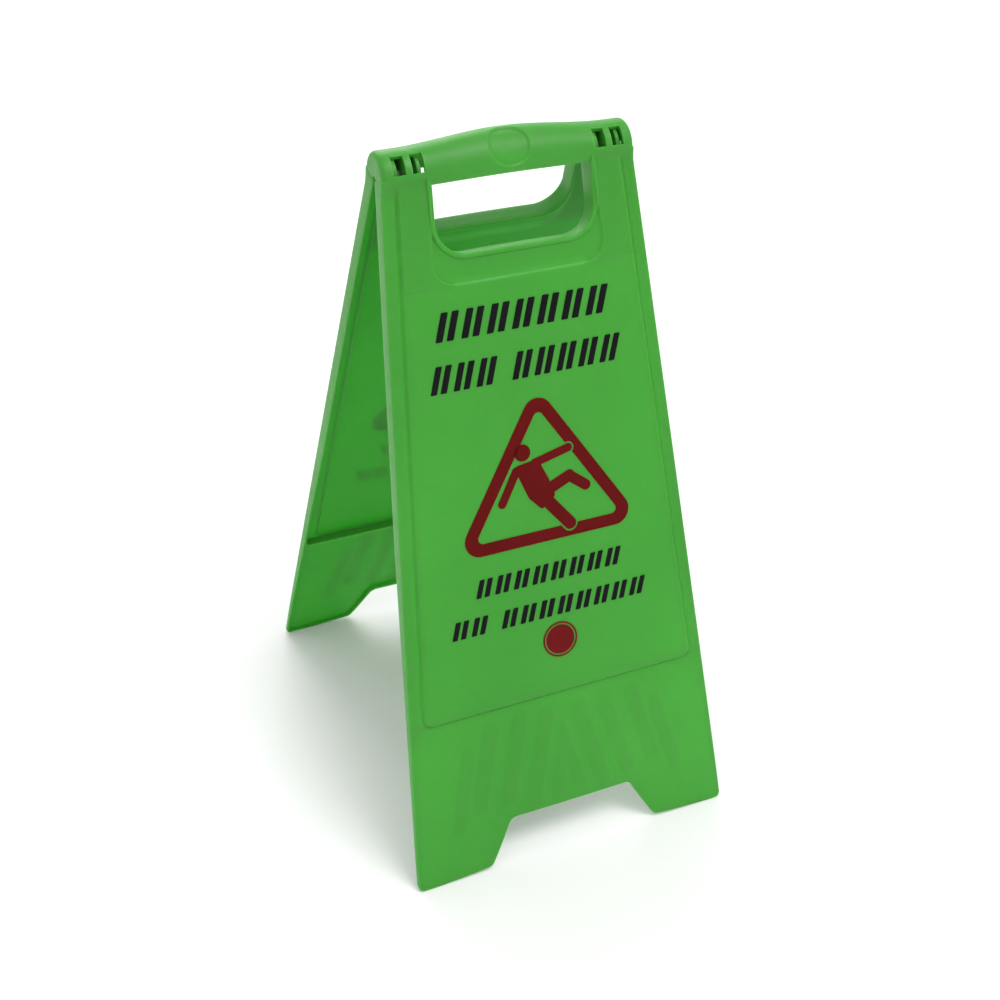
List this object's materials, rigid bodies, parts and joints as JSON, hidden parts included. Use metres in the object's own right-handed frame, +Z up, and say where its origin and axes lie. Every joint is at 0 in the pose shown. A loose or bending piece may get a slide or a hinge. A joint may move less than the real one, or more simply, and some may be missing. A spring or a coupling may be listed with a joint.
{
  "type": "wet floor sign",
  "caption": "Free-standing folding floor sign: two green plastic tray panels hinged at a hollow handle bar, with a printed warning symbol on each face.",
  "frame": {"origin": "centre of the footprint, on the floor", "axes": "+Z up; +X along the handle bar; the front message face looks towards -Y and the rear one towards +Y"},
  "size_m": [0.3008, 0.3878, 0.5939],
  "materials": {
    "green_plastic": "satin, slightly translucent moulded polypropylene",
    "natural_plastic": "milky natural nylon",
    "black_ink": "screen-printed ink",
    "red_ink": "screen-printed ink"
  },
  "bodies": {
    "front": {"front_panel": "green_plastic", "front_heading_print": "black_ink", "front_warning_symbol": "red_ink", "front_footer_print": "black_ink", "front_round_seal": "red_ink", "left_hinge_pin": "natural_plastic", "right_hinge_pin": "natural_plastic"},
    "rear": {"rear_panel": "green_plastic", "rear_heading_print": "black_ink", "rear_warning_symbol": "red_ink", "rear_footer_print": "black_ink", "rear_round_seal": "red_ink"}
  },
  "joints": [
    {"name": "fold", "type": "hinge", "parent": "front", "child": "rear", "pos_m": [0, 0, 0.56888], "axis": [-1, 0, 0], "range_deg": [0, 34.7]}
  ]
}
